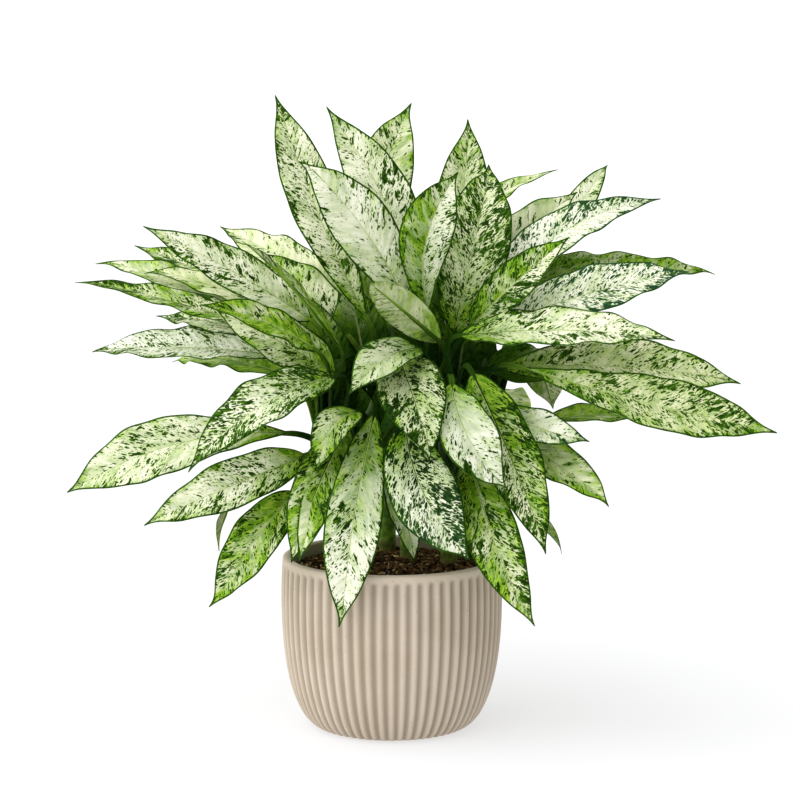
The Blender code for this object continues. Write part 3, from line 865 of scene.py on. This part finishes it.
def add_pot():
    """The pot: soft ribs outside that end below a smooth round lip, and a plain bowl inside."""
    sides = RIB_COUNT * RIB_STEPS
    profile = pot_profile()
    points = [Vector((0, 0, profile[0][1]))]
    grooves = [0.0]
    for radius, z, ribbed in profile[1:-1]:
        for angle in full_circle(sides):
            groove = rib_groove(angle, z) * ribbed
            grooves.append(groove)
            points.append(Vector((*polar(radius - GROOVE * groove, angle), z)))
    points.append(Vector((0, 0, profile[-1][1])))
    grooves.append(0.0)
    faces = turned_faces(len(profile) - 2, sides)
    made = make_piece("ribbed_pot", points, faces, pot_material(), ["pot"])
    # The grooves' depth, which the material uses for painted shade
    store(made.data, "groove", grooves)


def soil_height(x, y):
    """Height of the crumbly soil surface."""
    share = min(math.hypot(x, y) / pot_bore(SOIL_EDGE), 1)
    lumps = 0.0
    for waves, layer, strength in SOIL_WAVES:
        lumps += strength * noise.noise(Vector((x, y, layer)) * waves)
    return SOIL_EDGE + SOIL_CROWN * (1 - share ** 2) - SOIL_SINK + SOIL_ROUGHNESS * lumps


def add_soil():
    """The soil: a rough surface on a body that fills the bowl."""
    reach = pot_bore(SOIL_EDGE) - SOIL_GAP
    points = [Vector((0, 0, soil_height(0, 0)))]
    for ring in range(1, SOIL_RINGS + 1):
        for angle in full_circle(SOIL_SPOKES):
            x, y = polar(reach * ring / SOIL_RINGS, angle)
            points.append(Vector((x, y, soil_height(x, y))))
    for row in range(1, SOIL_ROWS + 1):
        z = SOIL_EDGE - (SOIL_EDGE - SOIL_BOTTOM) * row / SOIL_ROWS
        points += [Vector((*polar(pot_bore(z) - SOIL_GAP, angle), z)) for angle in full_circle(SOIL_SPOKES)]
    points.append(Vector((0, 0, SOIL_BOTTOM)))
    faces = [tuple(reversed(face)) for face in turned_faces(SOIL_RINGS + SOIL_ROWS, SOIL_SPOKES)]
    surface = soil_material("potting_mix", (26, 18, 11), (86, 64, 42), 260.0)
    made = make_piece("potting_mix", points, faces, surface, ["soil"])
    store(made.data, "tone", [SOIL_TONE] * len(points))


def lump(rng, size, stretch, flat):
    """A small broken lump as points and faces: rings of uneven points, turned at random.

    A flat one keeps lying flat, apart from a slight tilt.
    """
    angle = rng.uniform(0, ANY_TURN)
    axis = Vector([rng.gauss(0, 1) for _ in range(3)]).normalized()
    tilt = Matrix.Rotation(rng.uniform(-LUMP_TILT, LUMP_TILT), 3, "X")
    tilt = tilt @ Matrix.Rotation(rng.uniform(0, ANY_TURN), 3, "Z")
    turn = tilt if flat < FLAT_LUMP else Matrix.Rotation(angle, 3, axis)
    points = []
    for ring, (z, width) in enumerate(LUMP_RINGS):
        for angle in full_circle(LUMP_SIDES):
            x, y = polar(width, angle + ring * LUMP_TWIST)
            points.append(turn @ (Vector((x * stretch, y, z * flat)) * rng.uniform(*LUMP_JITTER)) * size)
    return points, tube_faces(len(LUMP_RINGS), LUMP_SIDES)


def scatter(name, count, sizes, stretch, flat, surface, seed, lift):
    """Lumps strewn over the soil, joined in one piece."""
    rng = random.Random(seed)
    limit = pot_bore(SOIL_EDGE) - WALL_MARGIN
    points, faces, tones = [], [], []
    for _ in range(count):
        size = rng.uniform(*sizes) * MM
        radius = (limit - size * stretch) * math.sqrt(rng.random())
        x, y = polar(radius, rng.uniform(0, 2 * math.pi))
        shape, skin = lump(rng, size, stretch, flat)
        centre = Vector((x, y, soil_height(x, y) + size * lift))
        first = len(points)
        points += [centre + point for point in shape]
        faces += [tuple(first + i for i in face) for face in skin]
        tones += [rng.random()] * len(shape)
    made = make_piece(name, points, faces, surface)
    made.data.set_sharp_from_angle(angle=SHARP_EDGE)
    store(made.data, "tone", tones)


def add_loose_matter():
    """Crumbs, bark chips and mineral grains on the soil."""
    crumb = soil_material("soil_crumb", (26, 18, 10), (124, 96, 60), 300.0)
    chip = soil_material("bark_chip", (104, 80, 48), (196, 166, 118), 220.0, 0.8)
    grain = soil_material("perlite", (196, 184, 160), (236, 230, 214), 500.0)
    scatter("soil_crumbs", CRUMBS, (0.8, 2.6), 1.2, 0.8, crumb, seed=11, lift=0.3)
    scatter("bark_chips", CHIPS, (0.9, 2.4), 1.8, 0.4, chip, seed=12, lift=0.6)
    scatter("perlite_grains", GRAINS, (0.5, 1.2), 1.1, 0.8, grain, seed=13, lift=0.8)


def cane_course(stem):
    """The control points of a cane's middle line, which stands upright in the soil and then leans."""
    foot = Vector((*stem.foot, STEM_FOOT_Z)) * MM
    top = Vector(stem.top) * MM
    return foot, Vector((foot.x, foot.y, (foot.z + top.z) / 2)), top


def cane_point(stem, share):
    """A point on a cane's middle line, from its foot (share 0) to its top (share 1)."""
    foot, bend, top = cane_course(stem)
    return foot * (1 - share) ** 2 + bend * 2 * share * (1 - share) + top * share ** 2


def cane_heading(stem, share):
    """The way a cane grows at a share of its length."""
    foot, bend, top = cane_course(stem)
    return ((bend - foot) * (1 - share) + (top - bend) * share).normalized()


def cane_radius(share):
    """Radius of a cane, which tapers most near its top."""
    return STEM_RADIUS + (STEM_TOP_RADIUS - STEM_RADIUS) * share ** 2


def cane_share(stem, z):
    """How far along its cane a height lies."""
    low, high = 0.0, 1.0
    for _ in range(HALVINGS):
        middle = (low + high) / 2
        if cane_point(stem, middle).z < z:
            low = middle
        else:
            high = middle
    return low


def add_cane(node, stem, surface):
    """A cane with swollen rings where old leaves stood, drawn out at its top into a rolled young leaf."""
    rows, scars = [], []
    phase = random.Random(node).uniform(0, 1)
    for row in range(CANE_ROWS + 1):
        share = row / CANE_ROWS
        middle = cane_point(stem, share)
        place = (middle.z / SCAR_PITCH + phase) % 1
        scar = math.exp(-((place - 0.5) / SCAR_WIDTH) ** 2)
        rows.append((middle, cane_radius(share) * CANE_SLIMNESS + SCAR_SWELL * scar))
        scars.append(scar)
    top, heading = cane_point(stem, 1), cane_heading(stem, 1)
    for i in range(1, SPEAR_ROWS + 1):
        climb = i / SPEAR_ROWS
        way = climb * 2 + phase * 6
        lean = Vector((math.sin(way), math.cos(way), 0)) * SPEAR_LEAN * climb
        radius = STEM_TOP_RADIUS * (1 - climb) ** 0.8 + SPEAR_TIP
        rows.append((top + heading * SPEAR * climb + lean, radius))
        scars.append(0)
    points = []
    for middle, radius in rows:
        for angle in full_circle(CANE_SIDES):
            wobble = 1 + CANE_WOBBLE * math.sin(3 * angle + phase * 9)
            points.append(middle + Vector((*polar(radius * wobble, angle), 0)))
    faces = tube_faces(len(rows), CANE_SIDES)
    made = make_piece(node + "_cane", points, faces, surface, [node])
    store(made.data, "scar", [value for value in scars for _ in range(CANE_SIDES)])


def blade_width(t, belly):
    """Half width of a blade as a share of its greatest: round base, drawn-out tip."""
    power = math.log(0.5) / math.log(belly)
    return math.sin(math.pi * t ** power) ** ROUNDNESS * (1 - TIP_DRAW * t ** TIP_POWER)


class Blade:
    """The middle line and the frame of a leaf's blade, in metres, from base (t 0) to tip (t 1)."""

    def __init__(self, leaf):
        self.leaf = leaf
        self.start = Vector(leaf.start) * MM
        self.chord = Vector(leaf.tip) * MM - self.start
        along = self.chord.normalized()
        faces = Vector(leaf.faces)
        self.up = (faces - along * faces.dot(along)).normalized()
        self.bow = (self.up * leaf.arch + along.cross(self.up) * leaf.sweep) * MM

    def point(self, t):
        """The middle of the blade at t."""
        return self.start + self.chord * t + self.bow * 4 * t * (1 - t)

    def heading(self, t):
        """The way the blade grows at t."""
        return (self.chord + self.bow * 4 * (1 - 2 * t)).normalized()

    def frame(self, t):
        """Right and up across the blade at t."""
        along = self.heading(t)
        up = (self.up - along * self.up.dot(along)).normalized()
        return along.cross(up), up


def stalk_line(blade):
    """Where a stalk's sheath starts in its cane, and the four control points of the stalk above it."""
    stem = STEMS[blade.leaf.stem]
    share = cane_share(stem, blade.leaf.joins * MM)
    middle = cane_point(stem, share)
    out = blade.start - middle
    out.z = 0
    out.normalize()
    heading = cane_heading(stem, share)
    slant = math.hypot(1, heading.dot(out) / heading.z)
    foot = middle + out * (cane_radius(share) + STALK_RADIUS * slant + GAP)
    pull = (blade.start - foot).length * STALK_PULL
    return middle - heading * SHEATH_DROP, (
        foot,
        foot + (heading + out * STALK_SPREAD).normalized() * pull,
        blade.start - blade.heading(0) * pull,
        blade.start,
    )


def bezier(points, u):
    """Point and heading on a cubic curve."""
    a, b, c, d = points
    v = 1 - u
    place = a * v ** 3 + b * 3 * u * v ** 2 + c * 3 * u ** 2 * v + d * u ** 3
    heading = (b - a) * v ** 2 + (c - b) * 2 * u * v + (d - c) * u ** 2
    return place, heading.normalized()


class Skin:
    """Points, faces and leaf coordinates that are gathered into one leaf piece."""

    def __init__(self):
        self.points, self.faces, self.uv = [], [], []
        self.marks = {"reach": [], "share": [], "under": [], "stalk": []}

    def add(self, point, across, along, **marks):
        """One point, its place on the leaf and what the material needs to know of it."""
        self.points.append(point)
        self.uv.append((across / UV_UNIT, along / UV_UNIT))
        for name, value in marks.items():
            self.marks[name].append(value)


def blade_faces(first, rows, width):
    """Faces of a blade whose rows hold the points of its upper skin, then those of its lower skin."""
    faces = []
    for row in range(rows - 1):
        a = first + row * 2 * width
        b = a + 2 * width
        for i in range(width - 1):
            faces.append((a + i, a + i + 1, b + i + 1, b + i))
            faces.append((a + width + i, b + width + i, b + width + i + 1, a + width + i + 1))
        faces.append((a, b, b + width, a + width))
        faces.append((a + width - 1, a + 2 * width - 1, b + 2 * width - 1, b + width - 1))
    for a, flip in ((first, True), (first + (rows - 1) * 2 * width, False)):
        for i in range(width - 1):
            face = (a + i, a + i + 1, a + width + i + 1, a + width + i)
            faces.append(tuple(reversed(face)) if flip else face)
    return faces


def add_blade(skin, blade, rng):
    """The thin blade: two skins that meet at wavy margins, with a groove along the midrib."""
    leaf = blade.leaf
    columns = range(-HALF_COLUMNS, HALF_COLUMNS + 1)
    phases = [[rng.uniform(0, 2 * math.pi) for _ in WAVE_LENGTHS] for _ in range(2)]
    strength = rng.uniform(*WAVE_STRENGTHS) * min(1, leaf.width / WAVY_WIDTH)
    wobble = rng.uniform(0, 100)
    curl = Vector((rng.uniform(-1, 1) * TIP_ASIDE, rng.uniform(-1, 0.4) * TIP_DROP))
    first = len(skin.points)
    travelled = 0.0
    before = blade.point(BLADE_START)
    for row in range(BLADE_ROWS + 1):
        t = BLADE_START + (BLADE_END - BLADE_START) * row / BLADE_ROWS
        middle = blade.point(t)
        travelled += (middle - before).length
        before = middle
        right, up = blade.frame(t)
        past_bend = max(t - TIP_BEND, 0)
        middle = middle + (right * curl.x + up * curl.y) * (past_bend / (1 - TIP_BEND)) ** 2
        draw = 1 - TIP_SLIM * min(past_bend / (TIP_NECK - TIP_BEND), 1) ** 1.5
        span = leaf.width / 2 * MM * blade_width(t, leaf.belly) * draw
        fill = BASE_FILL * max(0, 1 - t / BASE_REACH) ** 2
        for under in (0, 1):
            for column in columns:
                hand = 1 if column > 0 else 0
                s = abs(column / HALF_COLUMNS) ** COLUMN_CROWDING
                ripple = noise.noise(Vector((travelled * OUTLINE_WAVES, wobble + hand * 9, 0)))
                half = span * (1 + OUTLINE_WOBBLE * ripple + fill) + MARGIN
                x = half * s * (1 if column > 0 else -1)
                rise = half * leaf.fold * ((1 + FOLD_ROUND) * s - FOLD_ROUND * s ** 3)
                swing = 0.0
                for length, height, phase in zip(WAVE_LENGTHS, WAVE_HEIGHTS, phases[hand]):
                    swing += height * math.sin(2 * math.pi * travelled / length + phase)
                rise += swing * strength * s ** WAVE_POWER * min(1, span / WAVY_SPAN)
                rise -= GROOVE_DEPTH * math.exp(-(x / GROOVE_WIDTH) ** 2) * (1 - GROOVE_FADE * t)
                z = rise - SKIN if under else rise + SKIN
                skin.add(middle + right * x + up * z, x, travelled, reach=s, share=t, under=under, stalk=0)
    skin.faces += blade_faces(first, BLADE_ROWS + 1, len(columns))


def add_stalk(skin, blade):
    """The stalk, sheathing its cane below and running on as the rib under the blade."""
    root, line = stalk_line(blade)
    rows = [(root, (line[1] - line[0]).normalized(), ROOT_RADIUS, SHEATH_START)]
    for i in range(STALK_ROWS + 1):
        u = i / STALK_ROWS
        radius = STALK_RADIUS + (NECK_RADIUS - STALK_RADIUS) * u
        rows.append((*bezier(line, u), radius, max(0, 1 - u / SHEATH_SHARE)))
    neck = len(rows)
    for i in range(1, RIB_ROWS + 1):
        t = RIB_REACH * i / RIB_ROWS
        radius = NECK_RADIUS * (1 - t / RIB_REACH) ** 0.8 + RIB_TIP
        _, up = blade.frame(t)
        rows.append((blade.point(t) - up * radius * RIB_SINK, blade.heading(t), radius, 0))
    first = len(skin.points)
    travelled = 0.0
    before = root
    # The blade's up is carried back along the stalk to the root, and from there forward again
    _, up = blade.frame(0)
    for _, heading, _, _ in reversed(rows[:neck]):
        up = (up - heading * up.dot(heading)).normalized()
    for row, (place, heading, radius, sheath) in enumerate(rows):
        widen = (WING if row < neck else 1) + SHEATH_WIDEN * sheath
        travelled += (place - before).length
        before = place
        up = (up - heading * up.dot(heading)).normalized()
        right = heading.cross(up)
        for angle in full_circle(STALK_SIDES):
            x, z = polar(radius, angle)
            x *= widen
            z -= CHANNEL * radius * max(0, math.sin(angle)) ** 3
            skin.add(place + right * x + up * z, x, travelled, reach=0, share=0.5, under=1, stalk=1)
    skin.faces += tube_faces(len(rows), STALK_SIDES, first)


def add_leaf(leaf, surface, nodes):
    """One leaf piece: blade, midrib and stalk, with its own colouring."""
    rng = random.Random(leaf.name)
    blade = Blade(leaf)
    skin = Skin()
    add_blade(skin, blade, rng)
    add_stalk(skin, blade)
    mesh = make_piece(leaf.name + "_piece", skin.points, skin.faces, surface, nodes).data
    layer = mesh.uv_layers.new(name="leaf")
    corners = [0] * len(mesh.loops)
    mesh.loops.foreach_get("vertex_index", corners)
    layer.data.foreach_set("uv", [value for corner in corners for value in skin.uv[corner]])
    for name, values in skin.marks.items():
        store(mesh, name, values)
    count = len(skin.points)
    chance = Look(rng.uniform(*ANY_LIME), rng.uniform(*ANY_FLECKS), rng.uniform(*ANY_WHITE))
    look = SET_LOOKS.get(leaf.name, chance)
    # The darkness and side carry painted shade in part, and the blueness a painted sheen
    store(mesh, "blue", [look.blue] * count)
    store(mesh, "tint", [look.lime, look.dark, look.flecks] * count, "FLOAT_VECTOR")
    store(mesh, "traits", [rng.random(), look.side, look.white] * count, "FLOAT_VECTOR")


def stage_sheet(name, corners, surface):
    """One flat sheet of the stage."""
    mesh = bpy.data.meshes.new(name)
    mesh.from_pydata(corners, [], [(0, 1, 2, 3)])
    mesh.materials.append(surface)
    made = bpy.data.objects.new(name, mesh)
    scene.collection.objects.link(made)


def add_stage():
    """A pale floor, a bright backdrop and surround, and a soft light from the upper left."""
    far, back = FLOOR_HALF, BACKDROP_PLACE
    side, high = BACKDROP_HALF, BACKDROP_HEIGHT
    floor = stage_material("pale_floor", FLOOR_TONE, 0.95, FLOOR_GLOW)
    stage_sheet("floor", [(-far, -far, 0), (far, -far, 0), (far, back, 0), (-far, back, 0)], floor)
    wall = stage_material("bright_backdrop", BLACK, 1.0, BACKDROP_LIGHT)
    corners = [(-side, back, 0), (side, back, 0), (side, back, high), (-side, back, high)]
    stage_sheet("backdrop", corners, wall)
    world = bpy.data.worlds.new("studio")
    world.use_nodes = True
    background = world.node_tree.nodes["Background"]
    background.inputs["Color"].default_value = linear(*WHITE)
    background.inputs["Strength"].default_value = WORLD_LIGHT
    scene.world = world
    sun = bpy.data.lights.new("sun", "SUN")
    sun.energy = SUN_LIGHT
    sun.angle = SUN_SPREAD
    holder = bpy.data.objects.new("sun", sun)
    holder.rotation_euler = Vector(SUN_WAY).to_track_quat("-Z", "Y").to_euler()
    scene.collection.objects.link(holder)
    scene.view_settings.view_transform = "Standard"
    scene.view_settings.look = "Medium High Contrast"


def add_camera():
    """The camera, where the photograph was taken from."""
    lens = bpy.data.cameras.new("camera")
    lens.lens = CAMERA_LENS
    lens.clip_end = CAMERA_REACH
    holder = bpy.data.objects.new("camera", lens)
    holder.location = CAMERA_PLACE
    holder.rotation_euler = (math.pi / 2 - CAMERA_PITCH, 0, 0)
    scene.collection.objects.link(holder)
    scene.camera = holder


def build():
    """Everything in turn: camera, stage, pot, soil, canes and leaves."""
    add_camera()
    add_stage()
    add_pot()
    add_soil()
    add_loose_matter()
    cane = cane_material()
    for name, stem in STEMS.items():
        add_cane("stem_" + name, stem, cane)
    surface = leaf_material()
    for name, row in named(LEAVES):
        add_leaf(Leaf(name, *row), surface, [name])
    for name, row in named(EXTRA_LEAVES):
        add_leaf(Leaf(name, *row), surface, [])


build()
